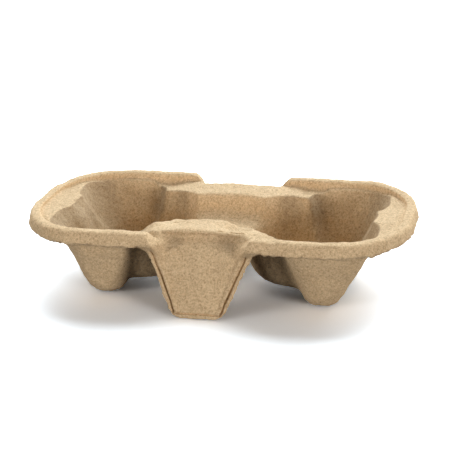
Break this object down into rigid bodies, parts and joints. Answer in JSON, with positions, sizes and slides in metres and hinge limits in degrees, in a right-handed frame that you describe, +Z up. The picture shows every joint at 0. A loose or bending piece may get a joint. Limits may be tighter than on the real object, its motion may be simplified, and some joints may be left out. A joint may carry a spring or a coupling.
{
  "type": "cup carrier",
  "caption": "Moulded pulp tray that carries cups: round wells with corner feet, a saddle between them, a rolled rim, and notched sides with a leg panel each.",
  "frame": {"origin": "on the ground under the middle of the tray", "axes": "+Z up, X along the long side from one well to the other, Y across the tray towards a leg panel"},
  "size_m": [0.215, 0.112, 0.046],
  "materials": {
    "moulded_pulp": "matt"
  },
  "bodies": {
    "root": {"cup_carrier": "moulded_pulp"}
  },
  "joints": []
}
